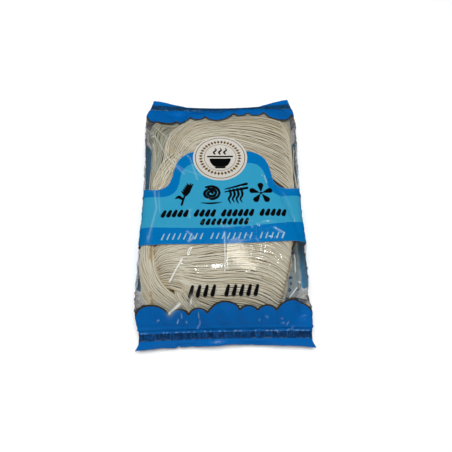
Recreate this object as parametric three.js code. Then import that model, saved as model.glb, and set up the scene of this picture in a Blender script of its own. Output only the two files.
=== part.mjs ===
// A sealed pillow pack of fine white noodles, lying on its back with the printed side up.
// Millimetres. X runs across the pack, Y along it towards its top seal, Z up from the floor.
// The pack is one closed skin: a full body, gathered to a crimped seal and a thin flange at each end.
// Every point of the skin is named by a direction round the cross-section and a place along the length.
import * as THREE from 'three';
import { mergeVertices } from 'three/addons/utils/BufferGeometryUtils.js';

// Driving dimensions
const LENGTH = 260; // from edge to edge along the flat film
const SEAL_LINE = 117; // inner line of each crimped seal, from the middle of the pack
const SEAL_END = 123; // outer line of each crimped seal
const FILM_THICKNESS = 1.0; // of the two sealed layers in a flange
const BODY_HEIGHT = 41;
const BODY_HALF_WIDTH = 71.6;
const SHOULDER_HALF_WIDTH = 79;
const SEAL_HALF_WIDTH = 72;
const EDGE_HALF_WIDTH = 75;
const BOTTOM_SEAL_HEIGHT = 8; // the lower seal droops to the floor
const TOP_SEAL_HEIGHT = 17; // the upper seal stands off it
const SEAL_SHIFT = 1.2; // the seals sit a little to the right of the body
const RIB_COUNT = 3; // embossed across each seal
const RIB_DEPTH = 0.25;
const SQUARE_POWER = 5; // of the cross-section, boxy in the body
const LENS_POWER = 2.6; // and round at the seals

// Steps of the skin
const TOP_STEPS = 26; // across the front, and across the back
const WALL_STEPS = 3; // from a side edge up to the front, and down to the back
const FLANGE_ROWS = 3;
const NOSE_ROWS = 7;
const BODY_ROWS = 36;

// Cross-sections along the pack, from its bottom edge to its top edge
const half = LENGTH / 2;
const floorSeal = BOTTOM_SEAL_HEIGHT;
const highSeal = TOP_SEAL_HEIGHT;
const section = (at, width, seam, front, back, power) => ({ at, width, seam, front, back, power });
const SECTIONS = [
  section(-half, EDGE_HALF_WIDTH, floorSeal - 2.5, floorSeal - 2.5, floorSeal - 2.5, LENS_POWER),
  section(-124, SEAL_HALF_WIDTH, floorSeal - 0.8, floorSeal - 0.8, floorSeal - 0.8, LENS_POWER),
  section(-SEAL_LINE, SEAL_HALF_WIDTH, floorSeal, floorSeal, floorSeal, LENS_POWER),
  section(-110, 73, 10, 15.5, 3.2, 2.7),
  section(-100, 74.6, 13, 25, 0.4, 2.9),
  section(-86, 73.8, 17, 35, 0, 3.4),
  section(-62, BODY_HALF_WIDTH + 0.6, 20, BODY_HEIGHT - 1.4, 0, 4.4),
  section(-20, BODY_HALF_WIDTH, 21, BODY_HEIGHT, 0, SQUARE_POWER),
  section(30, BODY_HALF_WIDTH + 1.8, 21, BODY_HEIGHT, 0, SQUARE_POWER),
  section(62, 76, 21, BODY_HEIGHT - 1.5, 0, 4.2),
  section(84, 78.2, 20, 35.5, 0.4, 3.4),
  section(100, SHOULDER_HALF_WIDTH, 18.5, 29.5, 5, 2.9),
  section(110, 78.6, 17.5, 22.5, 11, 2.7),
  section(SEAL_LINE, 77.4, highSeal, highSeal, highSeal, LENS_POWER),
  section(124, 76, highSeal, highSeal, highSeal, LENS_POWER),
  section(half, EDGE_HALF_WIDTH - 0.4, highSeal, highSeal, highSeal, LENS_POWER),
];

// The crease between the left bundle and the folded hank, where the film sinks in
const CREASE = [[-57, -44], [-59, -58], [-52, -72], [-43, -83], [-28, -93], [-10, -101]];
const CREASE_DEPTH = 2.2;
const CREASE_REACH = 4;
const FLAP_DEPTH = 13; // the empty film beside the hank, at the lower right
const CORNER_DEPTH = 5; // and beside it at the upper left
const SWELL_HEIGHT = 4.5; // the noodles stand highest at the right of the upper end
const HOLLOW_DEPTH = 7; // and the film dips at the left of it
const PINCH_DEPTH = 3; // the right side is drawn in above the lower seal
const PLEAT_DEPTH = 0.9; // gathers that run in from the seals
const PLEAT_REACH = 12;
const PLEAT_COUNT = 9;
const EDGE_WAVE = 1.1; // the cut edges ripple up and down
const FIN_COLUMNS = [13, 15]; // the back's lap seam lies between these two grooves
const FIN_GROOVE = 0.6;

function ramp(from, to, x) {
  const t = Math.min(1, Math.max(0, (x - from) / (to - from)));
  return t * t * (3 - 2 * t);
}

function bell(x, reach) {
  return Math.exp(-((x / reach) ** 2));
}

// Slope of one named size at station k, flat where the size turns back
function slopeAt(k, key) {
  if (k === 0 || k === SECTIONS.length - 1) {
    const near = k === 0 ? 1 : k - 1;
    return (SECTIONS[near][key] - SECTIONS[k][key]) / (SECTIONS[near].at - SECTIONS[k].at);
  }
  const before = (SECTIONS[k][key] - SECTIONS[k - 1][key]) / (SECTIONS[k].at - SECTIONS[k - 1].at);
  const after = (SECTIONS[k + 1][key] - SECTIONS[k][key]) / (SECTIONS[k + 1].at - SECTIONS[k].at);
  return before * after > 0 ? (2 * before * after) / (before + after) : 0;
}

// A size of the cross-section at any place along the pack: a smooth curve with no overshoot
function sizeAt(place, key) {
  let k = 0;
  while (k < SECTIONS.length - 2 && place >= SECTIONS[k + 1].at) k += 1;
  const span = SECTIONS[k + 1].at - SECTIONS[k].at;
  const t = (place - SECTIONS[k].at) / span;
  const start = SECTIONS[k][key] * (1 + 2 * t) * (1 - t) ** 2 + slopeAt(k, key) * span * t * (1 - t) ** 2;
  const end = SECTIONS[k + 1][key] * t * t * (3 - 2 * t) + slopeAt(k + 1, key) * span * t * t * (t - 1);
  return start + end;
}

function distanceToCrease(x, y) {
  let nearest = Infinity;
  for (let k = 1; k < CREASE.length; k += 1) {
    const [ax, ay] = CREASE[k - 1];
    const [dx, dy] = [CREASE[k][0] - ax, CREASE[k][1] - ay];
    const t = Math.min(1, Math.max(0, ((x - ax) * dx + (y - ay) * dy) / (dx * dx + dy * dy)));
    nearest = Math.min(nearest, Math.hypot(x - ax - t * dx, y - ay - t * dy));
  }
  return nearest;
}

// How far the front film sinks below the full body, over gaps in the contents
function sinkAt(x, y) {
  const crease = CREASE_DEPTH * bell(distanceToCrease(x, y), CREASE_REACH);
  const flap = FLAP_DEPTH * ramp(56, 71, x) * ramp(-46, -64, y) * ramp(-112, -98, y);
  const corner = CORNER_DEPTH * ramp(-66, -76, x) * ramp(20, 44, y) * ramp(104, 90, y);
  return crease + flap + corner;
}

// How far the front stands above or below an even shoulder, at the pack's upper end
function shoulderRelief(x, place) {
  const swell = SWELL_HEIGHT * ramp(-8, 40, x) * ramp(74, 54, x);
  const hollow = HOLLOW_DEPTH * bell(x + 45, 11) + 1.2 * ramp(6, -16, x);
  return (swell - hollow) * ramp(55, 86, place) * ramp(116, 104, place);
}

// The middle of each seal is drawn in along the pack, and the middle of the top flange curls down
function bowAlong(place) {
  const top = 1.6 * ramp(95, SEAL_LINE, place) + 1.4 * ramp(SEAL_LINE, SEAL_END, place)
    + 6 * ramp(SEAL_END, half, place);
  const bottom = 0.8 * ramp(-100, -SEAL_LINE, place) + 0.6 * ramp(-SEAL_LINE, -SEAL_END, place)
    + 1.8 * ramp(-SEAL_END, -half, place);
  return bottom - top;
}

function curlDown(place) {
  return 1.5 * ramp(SEAL_LINE, SEAL_END, place) + 6.5 * ramp(SEAL_END - 1, half, place);
}

function edgeRipple(across, place) {
  return EDGE_WAVE * Math.sin(7.5 * across + (place > 0 ? 0.8 : 2.2)) * ramp(SEAL_END, half, Math.abs(place));
}

// Half the thickness of the sealed layers, ribbed in the crimp and closed at the two cut edges
function layerThickness(place) {
  const from = Math.abs(place);
  const inSeal = from > SEAL_LINE && from < SEAL_END;
  const rib = inSeal ? Math.cos(((from - SEAL_LINE) / (SEAL_END - SEAL_LINE)) * 2 * Math.PI * RIB_COUNT) : 0;
  return from >= half ? 0 : FILM_THICKNESS / 2 + RIB_DEPTH * rib;
}

// One point of the skin. The direction (dx, dy) points round a square: dy > 0 is the front.
function skinPoint(dx, dy, place) {
  const power = sizeAt(place, 'power');
  const radius = (Math.abs(dx) ** power + Math.abs(dy) ** power) ** (-1 / power);
  const across = dx * radius;
  const rise = Math.abs(dy) * radius;
  const seam = sizeAt(place, 'seam');
  const fromSeal = Math.max(0, SEAL_LINE - Math.abs(place));
  const pleat = PLEAT_DEPTH * Math.sin(Math.PI * PLEAT_COUNT * across + place / 9)
    * bell(fromSeal - 5, PLEAT_REACH) * ramp(0, 4, fromSeal) * (1 - across * across);
  const bow = 1 - across * across;

  const pinch = PINCH_DEPTH * bell(place + 89, 8) * ramp(0.6, 1, across);
  const x = sizeAt(place, 'width') * across + SEAL_SHIFT * ramp(104, SEAL_LINE, Math.abs(place)) - pinch;
  const y = place + bow * bowAlong(place);
  const layer = layerThickness(place) * rise ** 0.4;
  let z;
  if (dy >= 0) {
    z = seam + (sizeAt(place, 'front') - seam) * rise;
    z -= Math.min(sinkAt(x, y), (z - seam) * 0.8) * ramp(0, 0.25, rise);
    z += shoulderRelief(x, place) * ramp(0, 0.5, rise) + layer + pleat;
  } else {
    const back = sizeAt(place, 'back');
    z = seam - (seam - back) * Math.min(1, 1.04 * rise);
    z -= Math.min(layer, Math.max(0, z)) - pleat * ramp(0.5, 3, z);
  }
  return [x, y, z - bow * curlDown(place) + bow * edgeRipple(across, place)];
}

// Directions round the cross-section: up the right wall, over the front, down, and back under
function ringDirections() {
  const front = [];
  for (let k = 0; k < WALL_STEPS; k += 1) front.push([1, k / WALL_STEPS]);
  for (let k = 0; k <= TOP_STEPS; k += 1) front.push([1 - (2 * k) / TOP_STEPS, 1]);
  for (let k = 1; k <= WALL_STEPS; k += 1) front.push([-1, 1 - k / WALL_STEPS]);
  const back = front.slice(1, -1).reverse().map(([dx, dy]) => [dx, -dy]);
  return front.concat(back);
}

// Places of the rows along the pack, close together where the skin is pleated or ribbed
function rowPlaces() {
  const places = [-half];
  const stretch = (to, rows) => {
    const from = places[places.length - 1];
    for (let k = 1; k <= rows; k += 1) places.push(from + ((to - from) * k) / rows);
  };
  const ribRows = 2 * RIB_COUNT;
  const nose = 21;
  stretch(-half + 0.8, 1);
  stretch(-SEAL_END, FLANGE_ROWS - 1);
  stretch(-SEAL_LINE, ribRows);
  stretch(-SEAL_LINE + nose, NOSE_ROWS);
  stretch(SEAL_LINE - nose, BODY_ROWS);
  stretch(SEAL_LINE, NOSE_ROWS);
  stretch(SEAL_END, ribRows);
  stretch(half - 0.8, FLANGE_ROWS - 1);
  stretch(half, 1);
  return places;
}

// The skin as one closed surface: at both cut edges the front and back rows meet point by point
function packGeometry() {
  const ring = ringDirections();
  const places = rowPlaces();
  const positions = [];
  for (const place of places) {
    ring.forEach(([dx, dy], column) => {
      const [x, y, z] = skinPoint(dx, dy, place);
      positions.push(x, y, isFinGroove(ring.length - column, z) ? FIN_GROOVE : z);
    });
  }
  const faces = [];
  const count = ring.length;
  for (let row = 0; row < places.length - 1; row += 1) {
    for (let k = 0; k < count; k += 1) {
      const a = row * count + k;
      const b = row * count + ((k + 1) % count);
      faces.push(a, a + count, b);
      faces.push(b, a + count, b + count);
    }
  }
  const geometry = new THREE.BufferGeometry();
  geometry.setAttribute('position', new THREE.Float32BufferAttribute(positions, 3));
  geometry.setIndex(faces);
  return withoutSlivers(mergeVertices(geometry, 1e-3));
}

// The two grooves beside the lap seam, on the flat underside only
function isFinGroove(columnFromRight, z) {
  return FIN_COLUMNS.includes(columnFromRight - WALL_STEPS) && z < 0.05;
}

// Faces that lost an edge when the end rows met are left out
function withoutSlivers(geometry) {
  const index = geometry.getIndex().array;
  const kept = [];
  for (let k = 0; k < index.length; k += 3) {
    const [a, b, c] = [index[k], index[k + 1], index[k + 2]];
    if (a !== b && b !== c && c !== a) kept.push(a, b, c);
  }
  geometry.setIndex(kept);
  return geometry;
}

const pack = new THREE.Mesh(
  packGeometry(),
  new THREE.MeshStandardMaterial({ color: 0xb9b29a, roughness: 0.22, metalness: 0 }),
);
pack.name = 'sealed_bag';

const part = new THREE.Group();
part.add(pack);

export default part;
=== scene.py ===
"""A sealed clear film pack of fine white noodles, lying on its back with its printed side up.

PackShape gives the pack's outer surface. The film, the strands and the dark core under them all
take their place from it, so they stay in step. The core's dark finish is painted shade between the
strands. Sizes in the classes are millimetres.
"""

import logging
import math
from collections.abc import Callable, Iterable, Sequence
from dataclasses import dataclass, field
from enum import Enum
from functools import reduce

import bmesh
import bpy
import numpy as np
from mathutils import Matrix, Vector


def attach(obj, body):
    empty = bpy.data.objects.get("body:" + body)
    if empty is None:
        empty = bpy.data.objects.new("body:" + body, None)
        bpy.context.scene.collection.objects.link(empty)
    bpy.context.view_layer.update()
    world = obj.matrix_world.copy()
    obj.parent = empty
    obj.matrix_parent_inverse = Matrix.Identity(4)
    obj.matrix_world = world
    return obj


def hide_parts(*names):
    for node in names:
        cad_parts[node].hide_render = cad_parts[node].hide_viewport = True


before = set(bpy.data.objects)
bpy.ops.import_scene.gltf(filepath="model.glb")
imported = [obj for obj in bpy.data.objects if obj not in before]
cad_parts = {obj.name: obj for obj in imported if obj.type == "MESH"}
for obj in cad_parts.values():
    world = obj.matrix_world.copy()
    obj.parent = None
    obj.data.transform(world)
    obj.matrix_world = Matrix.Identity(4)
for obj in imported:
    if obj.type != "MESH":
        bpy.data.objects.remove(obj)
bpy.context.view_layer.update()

LOG = logging.getLogger("noodle_pack")
MM = 0.001
NODE = "sealed_bag"
BODY = "root"
Array = np.ndarray
Line = Sequence[Sequence[float]]
Strokes = Iterable[tuple[Line, tuple[float, ...]]]
Socket = bpy.types.NodeSocket


def ramp(start: float, end: float, x: Array) -> Array:
    """Smooth step from 0 at start to 1 at end."""
    t = np.clip((x - start) / (end - start), 0.0, 1.0)
    return t * t * (3.0 - 2.0 * t)


def bell(x: Array, reach: float) -> Array:
    """Bell curve of height 1 and the given reach."""
    return np.exp(-((x / reach) ** 2))


def unit(vectors: Array) -> Array:
    """Vectors in a last axis of three, brought to a length of 1."""
    return vectors / (np.linalg.norm(vectors, axis=-1, keepdims=True) + 1e-9)


def linear(red: int, green: int, blue: int) -> tuple[float, float, float, float]:
    """A colour as the shader takes it, from its 8-bit display values."""
    shares = (c / 255 for c in (red, green, blue))
    return tuple(((c + 0.055) / 1.055) ** 2.4 if c > 0.04045 else c / 12.92 for c in shares) + (1.0,)


def line_distance(x: Array, y: Array, line: Line) -> Array:
    """Distance from points to a line of straight steps.

    Args:
        x: Across positions of the points.
        y: Along positions of the points.
        line: The corners of the line.

    Returns:
        The distance of each point.
    """
    nearest = np.full(np.shape(x), 1e9)
    for (ax, ay), (bx, by) in zip(line[:-1], line[1:]):
        dx, dy = bx - ax, by - ay
        t = np.clip(((x - ax) * dx + (y - ay) * dy) / (dx * dx + dy * dy + 1e-12), 0, 1)
        nearest = np.minimum(nearest, np.hypot(x - ax - t * dx, y - ay - t * dy))
    return nearest


def smooth_line(corners: Line, count: int) -> Array:
    """A smooth curve through the given corners.

    Args:
        corners: Points of two or more numbers each.
        count: How many points to return.

    Returns:
        Points evenly spaced by distance along the curve, one row each.
    """
    p = np.array(corners, dtype=float)
    p = np.vstack([2 * p[0] - p[1], p, 2 * p[-1] - p[-2]])
    t = np.linspace(0, 1, 24, endpoint=False)[:, None]
    parts = [0.5 * (2 * b + (c - a) * t + (2 * a - 5 * b + 4 * c - d) * t**2 + (3 * b - a - 3 * c + d) * t**3)
             for a, b, c, d in zip(p[:-3], p[1:-2], p[2:-1], p[3:])]
    fine = np.vstack(parts + [p[-2:-1]])
    run = np.concatenate([[0], np.cumsum(np.linalg.norm(np.diff(fine[:, :2], axis=0), axis=1))])
    at = np.linspace(0, run[-1], count)
    return np.stack([np.interp(at, run, column) for column in fine.T], axis=1)


class Size(Enum):
    """The named sizes of a cross-section, by their column in the table of sections."""

    WIDTH = 1
    SEAM = 2
    FRONT = 3
    BACK = 4
    POWER = 5


@dataclass(frozen=True)
class PackShape:
    """The outer surface of the pack, by the same sections, creases and pleats as its solid."""

    half_length: float = 130.0
    seal_line: float = 117.0
    seal_shift: float = 1.2
    wall_length: float = 20.0
    layer: float = 0.16
    edge_layer: float = 0.04
    pleats: int = 9
    pleat_height: float = 0.9
    crease_depth: float = 2.2
    crease_reach: float = 4.0
    flap_depth: float = 13.0
    corner_depth: float = 5.0
    waist_depth: float = 3.0
    crease: tuple = ((-57, -44), (-59, -58), (-52, -72), (-43, -83), (-28, -93), (-10, -101))
    sections: tuple = (
        (-130, 75, 5.5, 5.5, 5.5, 2.6), (-124, 72, 7.2, 7.2, 7.2, 2.6), (-117, 72, 8, 8, 8, 2.6),
        (-110, 73, 10, 15.5, 3.2, 2.7), (-100, 74.6, 13, 25, 0.4, 2.9), (-86, 73.8, 17, 35, 0, 3.4),
        (-62, 72.2, 20, 39.6, 0, 4.4), (-20, 71.6, 21, 41, 0, 5), (30, 73.4, 21, 41, 0, 5),
        (62, 76, 21, 39.5, 0, 4.2), (84, 78.2, 20, 35.5, 0.4, 3.4), (100, 79, 18.5, 29.5, 5, 2.9),
        (110, 78.6, 17.5, 22.5, 11, 2.7), (117, 77.4, 17, 17, 17, 2.6), (124, 76, 17, 17, 17, 2.6),
        (130, 74.6, 17, 17, 17, 2.6),
    )

    def size(self, place: Array, which: Size) -> Array:
        """A size of the cross-section at places along the pack.

        Args:
            place: Places along the flat film.
            which: The size asked for.

        Returns:
            The size at each place, on a smooth curve with no overshoot.
        """
        table = np.array(self.sections, dtype=float)
        x, y = table[:, 0], table[:, which.value]
        rise = np.diff(y) / np.diff(x)
        both = rise[:-1] * rise[1:]
        slope = np.where(both > 0, 2 * both / (rise[:-1] + rise[1:] + (both <= 0)), 0.0)
        slope = np.concatenate([rise[:1], slope, rise[-1:]])
        place = np.clip(place, x[0], x[-1])
        k = np.clip(np.searchsorted(x, place, side="right") - 1, 0, len(x) - 2)
        span = x[k + 1] - x[k]
        t = (place - x[k]) / span
        return (y[k] * (1 + 2 * t) * (1 - t) ** 2 + slope[k] * span * t * (1 - t) ** 2
                + y[k + 1] * t * t * (3 - 2 * t) + slope[k + 1] * span * t * t * (t - 1))

    def reach(self, place: Array) -> Array:
        """How far the front goes to each side before a wall starts."""
        return 2 ** (-1 / self.size(place, Size.POWER)) * self.size(place, Size.WIDTH)

    def sink(self, x: Array, y: Array) -> Array:
        """How far the front film sinks over gaps in the contents.

        Args:
            x: Across positions.
            y: Along positions.

        Returns:
            The depth of the crease, the empty flap and the upper corner together.
        """
        crease = self.crease_depth * bell(line_distance(x, y, self.crease), self.crease_reach)
        flap = self.flap_depth * ramp(56, 71, x) * ramp(-46, -64, y) * ramp(-112, -98, y)
        return crease + flap + self.corner_depth * ramp(-66, -76, x) * ramp(20, 44, y) * ramp(104, 90, y)

    def point(self, dx: Array, dy: Array, place: Array) -> Array:
        """Points of the surface.

        Args:
            dx: Across part of the direction round a square.
            dy: Its upward part, above 0 on the front.
            place: Place along the flat film.

        Returns:
            The points, in a last axis of three.
        """
        dx, dy, place = np.broadcast_arrays(*(np.asarray(a, dtype=float) for a in (dx, dy, place)))
        width, seam, front, back, power = (self.size(place, s) for s in Size)
        radius = (np.abs(dx) ** power + np.abs(dy) ** power) ** (-1 / power)
        across, rise = dx * radius, np.abs(dy) * radius
        end = np.abs(place)
        bow = 1 - across**2
        drawn = bow ** (1 + 0.6 * ramp(117, 130, place))
        to_seal = np.maximum(0, self.seal_line - end)
        pleat = self.pleat_height * np.sin(math.pi * self.pleats * across + place / 9) * bell(to_seal - 5, 12)
        pleat = pleat * ramp(0, 4, to_seal) * bow
        x = width * across + self.seal_shift * ramp(104, 117, end)
        x = x - self.waist_depth * bell(place + 89, 8) * ramp(0.6, 1, across)
        y = place + drawn * self.bow(place)
        layer = np.where(end < self.half_length, self.layer, self.edge_layer) * rise**0.4
        top = seam + (front - seam) * rise
        top = top - np.minimum(self.sink(x, y), (top - seam) * 0.8) * ramp(0, 0.25, rise)
        top = top + self.shoulder(x, place) * ramp(0, 0.5, rise) + layer + pleat
        low = seam - (seam - back) * np.minimum(1, 1.04 * rise)
        low = low - np.minimum(layer, np.maximum(0, low)) + pleat * ramp(0.5, 3, low)
        z = np.where(dy >= 0, top, low) - drawn * self.curl(place) + bow * self.ripple(across, place)
        return np.stack([x, y, z], axis=-1)

    @staticmethod
    def shoulder(x: Array, place: Array) -> Array:
        """The swell and the hollow at the pack's upper end."""
        rise = 4.5 * ramp(-8, 40, x) * ramp(74, 54, x) - 7 * bell(x + 45, 11) - 1.2 * ramp(6, -16, x)
        return rise * ramp(55, 86, place) * ramp(116, 104, place)

    @staticmethod
    def bow(place: Array) -> Array:
        """How far the middle of each seal is drawn in along the pack.

        Args:
            place: Places along the flat film.

        Returns:
            The moves along the pack, below 0 at the upper seal.
        """
        steps = ((95, 117, -1.6), (117, 123, -1.4), (123, 130, -6), (-100, -117, 0.8), (-117, -123, 0.6),
                 (-123, -130, 1.8))
        return sum(by * ramp(start, end, place) for start, end, by in steps)

    @staticmethod
    def curl(place: Array) -> Array:
        """How far the middle of the top flange curls down."""
        return 1.5 * ramp(117, 123, place) + 6.5 * ramp(122, 130, place)

    @staticmethod
    def ripple(across: Array, place: Array) -> Array:
        """The slow wave of both cut edges."""
        return 1.1 * np.sin(7.5 * across + np.where(place > 0, 0.8, 2.2)) * ramp(123, 130, np.abs(place))

    def wrap(self, w: Array, place: Array) -> tuple[Array, Array]:
        """Directions for a position measured across the front, down a wall and on under the back.

        Args:
            w: Millimetres from the middle of the front, signed.
            place: Place along the flat film.

        Returns:
            dx and dy, as point takes them.
        """
        w, place = np.broadcast_arrays(np.asarray(w, float), np.asarray(place, float))
        power, width = self.size(place, Size.POWER), self.size(place, Size.WIDTH)
        s = np.abs(w)
        q = np.minimum(s / width, 2 ** (-1 / power))
        rise = (1 - q**power) ** (1 / power)
        over = np.maximum(0, s - self.reach(place))
        under = np.maximum(0, over - 2 * self.wall_length)
        dx = np.where(over > 0, 1 - under / width, q / np.maximum(q, rise))
        dy = np.where(over > 0, np.maximum(-1, 1 - over / self.wall_length), 1.0)
        return dx * np.sign(w + 1e-12), dy

    def inside(self, w: Array, place: Array, depth: Array,
               surface: Callable | None = None) -> tuple[Array, Array]:
        """Points at a depth under a surface.

        Args:
            w: Position across, as wrap takes it.
            place: Place along.
            depth: Depth below the surface.
            surface: The surface, which takes what point takes. The pack's own if none is given.

        Returns:
            The points and the outward normals there.
        """
        step = 0.6
        surface = surface or self.point
        here, east, west = (surface(*self.wrap(w + d, place), place) for d in (0, step, -step))
        north, south = (surface(*self.wrap(w, place + d), place + d) for d in (step, -step))
        over = np.abs(w) - self.reach(place)
        wall = (ramp(-3, 5, over) * ramp(3, -5, over - 2 * self.wall_length))[..., None]
        sideways = np.stack([np.sign(w), 0 * w, 0 * w], axis=-1)
        normal = unit(unit(np.cross(east - west, north - south)) * (1 - wall) + sideways * wall)
        return here - normal * np.asarray(depth)[..., None], normal


class Crinkle:
    """Seeded smooth noise for creases and waves."""

    def __init__(self, seed: int) -> None:
        """Draws the table of random heights."""
        self.table = np.random.default_rng(seed).random((97, 89))

    def wave(self, x: Array, y: Array, cell: float) -> Array:
        """Smooth noise.

        Args:
            x: Across positions.
            y: Along positions.
            cell: Size of the noise's cells.

        Returns:
            Values from 0 to 1.
        """
        u, v = x / cell + 431.7, y / cell + 517.3
        i, j = np.floor(u).astype(int), np.floor(v).astype(int)
        s, t = ramp(0, 1, u - i), ramp(0, 1, v - j)
        h = [[self.table[(i + a) % 97, (j + b) % 89] for b in (0, 1)] for a in (0, 1)]
        return (h[0][0] * (1 - s) + h[1][0] * s) * (1 - t) + (h[0][1] * (1 - s) + h[1][1] * s) * t

    def ridge(self, x: Array, y: Array, cell: float, sharp: float) -> Array:
        """Thin ridges between flat fields, from 0 to 1."""
        return (1 - np.abs(2 * self.wave(x, y, cell) - 1)) ** sharp


def select(*pieces: bpy.types.Object) -> None:
    """Selects pieces and nothing else.

    Args:
        *pieces: The pieces, of which the first becomes the active one.
    """
    bpy.ops.object.select_all(action="DESELECT")
    for piece in pieces:
        piece.select_set(True)
    if pieces:
        bpy.context.view_layer.objects.active = pieces[0]


def add_sheet(name: str, columns: int, rows: int) -> tuple[bpy.types.Object, Array, Array]:
    """Adds a flat grid to be wrapped.

    Args:
        name: Name of the new object.
        columns: Faces along the grid's X.
        rows: Faces along its Y.

    Returns:
        The object, and each corner's place from 0 to 1 along X and along Y.
    """
    select()
    bpy.ops.mesh.primitive_grid_add(x_subdivisions=columns, y_subdivisions=rows, size=1, calc_uvs=False)
    sheet = bpy.context.object
    sheet.name = sheet.data.name = name
    flat = np.zeros(len(sheet.data.vertices) * 3)
    sheet.data.vertices.foreach_get("co", flat)
    return sheet, flat[0::3] + 0.5, flat[1::3] + 0.5


def place_corners(piece: bpy.types.Object, points: Array) -> None:
    """Moves every corner of a mesh to its place, given in millimetres."""
    piece.data.vertices.foreach_set("co", (points * MM).ravel())
    piece.data.update()


def add_values(mesh: bpy.types.Mesh, values: dict[str, Array]) -> None:
    """Stores one number for each corner under each name.

    Args:
        mesh: The mesh to store them on.
        values: The numbers by their names.
    """
    for name, numbers in values.items():
        layer = mesh.attributes.new(name, "FLOAT", "POINT")
        layer.data.foreach_set("value", np.asarray(numbers, dtype=np.float32).ravel())


@dataclass(frozen=True)
class FilmPrint:
    """The print on the film, as signed distances in millimetres that are above 0 inside a shape."""

    disc_centre: tuple[float, float] = (-1.1, 35.8)
    disc_radius: float = 25.2
    lower_cusps: tuple = ((-72.9, -101.5), (-44.5, -103.4), (-28.9, -103.2), (-14.1, -101.7), (13.0, -100.0),
                          (27.4, -100.7), (42.6, -100.7), (74.4, -101.2))
    lower_crowns: tuple = (-95.7, -99.2, -98.4, -94.6, -97.5, -97.5, -93.6)
    upper_cusps: tuple = ((-77.8, 102.0), (-46.3, 94.0), (-30.9, 93.8), (-15.7, 93.0), (13.4, 94.2),
                          (28.0, 93.2), (44.2, 93.5), (75.8, 101.2))
    upper_crowns: tuple = (87.2, 89.2, 87.5, 84.8, 89.5, 88.2, 83.2)
    label_half: tuple = ((0, 42.6), (20, 42.5), (27, 42.0), (33.4, 39.3), (38.6, 34.9), (41.9, 29.2),
                         (43.9, 21.5), (45.5, 14.0), (47.6, 8.4), (50.6, 4.6), (55, 2.6), (60, 2.2),
                         (72, 5.6), (84, 9.0))
    panel_half: tuple = ((0, 29.0), (20, 29.0), (27.5, 28.6), (32.5, 26.4), (36.6, 21.2), (38.5, 15.0),
                         (39.4, 8.0), (41.7, 0.8), (45.7, -3.4), (51.3, -5.3), (58, -5.2), (72, -3.0),
                         (84, -0.6))

    @staticmethod
    def scallops(cusps: tuple, crowns: tuple) -> Array:
        """The scalloped edge of a printed end.

        Args:
            cusps: The points between the lobes.
            crowns: The height of each lobe's middle.

        Returns:
            The edge as a fine line from left to right.
        """
        t = np.linspace(0, 1, 14, endpoint=False)
        hump = 1 - (2 * t - 1) ** 2
        arc = np.sqrt(hump) * 0.55 + hump * 0.45
        parts = [np.stack([ax + (bx - ax) * t, ay + (by - ay) * t + (crown - (ay + by) / 2) * arc], axis=1)
                 for (ax, ay), (bx, by), crown in zip(cusps[:-1], cusps[1:], crowns)]
        line = np.vstack(parts + [cusps[-1:]])
        return np.vstack([line[0] + (-9, -3), line, line[-1] + (9, -3)])

    @staticmethod
    def side_of(x: Array, y: Array, line: Array, below: bool) -> Array:
        """Signed distance to a line that runs from left to right.

        Args:
            x: Across positions.
            y: Along positions.
            line: The line's points, in order of x.
            below: Whether the inside is below the line.

        Returns:
            The distances, held within 12 mm.
        """
        gap = np.interp(x, line[:, 0], line[:, 1]) - y
        far = np.full(x.shape, 12.0)
        near = np.abs(gap) < 14
        far[near] = np.minimum(12, line_distance(x[near], y[near], line))
        return far * np.where((gap > 0) == below, 1, -1)

    def ends(self, x: Array, y: Array) -> Array:
        """The printed ends of the pack."""
        return np.maximum(self.side_of(x, y, self.scallops(self.lower_cusps, self.lower_crowns), True),
                          self.side_of(x, y, self.scallops(self.upper_cusps, self.upper_crowns), False))

    def arched(self, x: Array, y: Array, half: tuple, shift: float, foot: tuple) -> Array:
        """Signed distance to a bell-shaped field over a curved foot.

        Args:
            x: Across positions.
            y: Along positions.
            half: The right half of its upper edge.
            shift: How far its middle lies to the right.
            foot: Height, curve and slope of its lower edge.

        Returns:
            The distances.
        """
        t = np.linspace(-1.2, 1.2, 40)
        low = np.stack([t * 71, foot[0] + foot[1] * t**2 + foot[2] * t], axis=1)
        edge = smooth_line(half, 90)
        edge = np.vstack([edge[::-1] * (-1, 1), edge[1:]]) + (shift, 0)
        return np.minimum(self.side_of(x, y, edge, True), self.side_of(x, y, low, False))

    def label(self, x: Array, y: Array) -> Array:
        """The whole label, with its border and lower strip."""
        return self.arched(x, y, self.label_half, 0.6, (-50, 2.25, 0.75))

    def panel(self, x: Array, y: Array) -> Array:
        """The light field of the label."""
        return self.arched(x, y, self.panel_half, 1.2, (-35.5, 4.7, 2))


def ear() -> Strokes:
    """An ear of wheat with a leaf.

    Returns:
        Its strokes, each with its points and its half widths.
    """
    yield [(-3.5, -10.5), (-1.8, -4), (0.6, 2), (3.6, 9.6)], (1.0, 0.7, 0.5)
    for t in np.linspace(0, 1, 5):
        x, y = -0.9 + 3.6 * t, -0.8 + 7.6 * t
        yield [(x - 0.6, y), (x - 3.4 + t, y + 3.4)], (1.25, 0.35)
        yield [(x + 0.8, y - 0.4), (x + 4.0 - t, y + 2.4)], (1.25, 0.35)
    yield [(-2.4, -6.4), (-6, -3.2), (-9.2, -5)], (0.5, 1.6, 0.3)


def swirl() -> Strokes:
    """A coiled nest of noodles.

    Returns:
        Its strokes, each with its points and its half widths.
    """
    turns = [((1.2 + k * 0.37) * math.cos(k * 0.7), 0.86 * (1.2 + k * 0.37) * math.sin(k * 0.7))
             for k in range(22)]
    for start in range(0, 21, 3):
        yield turns[start:start + 4], (1.15, 1.35, 1.15)
    yield [(-9.5, -9.8), (0, -10.6), (10, -9.4)], (0.4, 1.1, 0.3)


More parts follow.
